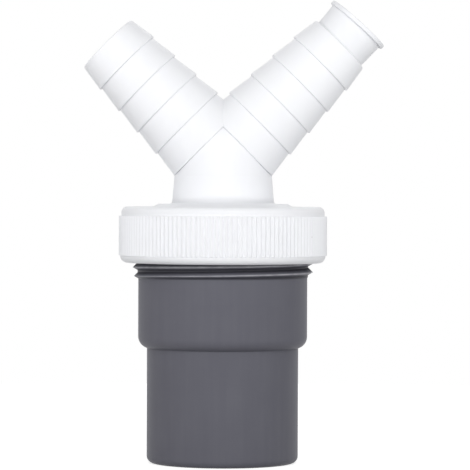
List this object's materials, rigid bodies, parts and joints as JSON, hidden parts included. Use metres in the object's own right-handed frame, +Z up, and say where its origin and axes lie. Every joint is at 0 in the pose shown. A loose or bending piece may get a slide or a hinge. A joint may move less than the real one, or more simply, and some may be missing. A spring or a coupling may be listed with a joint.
{
  "type": "double appliance drain connector",
  "caption": "Y-shaped drain connector with stepped hose tails and a blanking plug, held by a ribbed union nut on a threaded adaptor that ends in a plain pipe spigot.",
  "frame": {"origin": "centre of the open lower end of the pipe spigot", "axes": "+Z up along the adaptor's axis; +X towards the plugged hose tail; both tails lie in the X-Z plane, and -Y faces the viewer"},
  "size_m": [0.0794, 0.0552, 0.1228],
  "materials": {
    "grey_plastic": "satin moulded polypropylene with faint flow marks",
    "white_plastic": "smooth moulded polypropylene",
    "plug_plastic": "soft satin polyethylene",
    "seal_rubber": "matt moulded rubber"
  },
  "bodies": {
    "adaptor": {"adaptor": "grey_plastic"},
    "seal": {"sealing_washer": "seal_rubber"},
    "nut": {"union_nut": "white_plastic"},
    "branch": {"branch": "white_plastic"},
    "plug": {"blanking_plug": "plug_plastic"}
  },
  "joints": [
    {"name": "union_lift", "type": "slide", "parent": "adaptor", "child": "seal", "axis": [0, 0, 1], "range_m": [0, 0.0078]},
    {"name": "nut_turn", "type": "hinge", "parent": "seal", "child": "nut", "pos_m": [0, 0, 0.06], "axis": [0, 0, 1], "range_deg": [0, 1200]},
    {"name": "branch_swivel", "type": "hinge", "parent": "seal", "child": "branch", "pos_m": [0, 0, 0.063], "axis": [0, 0, 1], "continuous": true},
    {"name": "plug_pull", "type": "slide", "parent": "branch", "child": "plug", "axis": [0.6691, 0, 0.7431], "range_m": [0, 0.02]}
  ],
  "couplings": [
    {"joint": "union_lift", "follows": "nut_turn", "m_per_rad": 0.00036749}
  ]
}
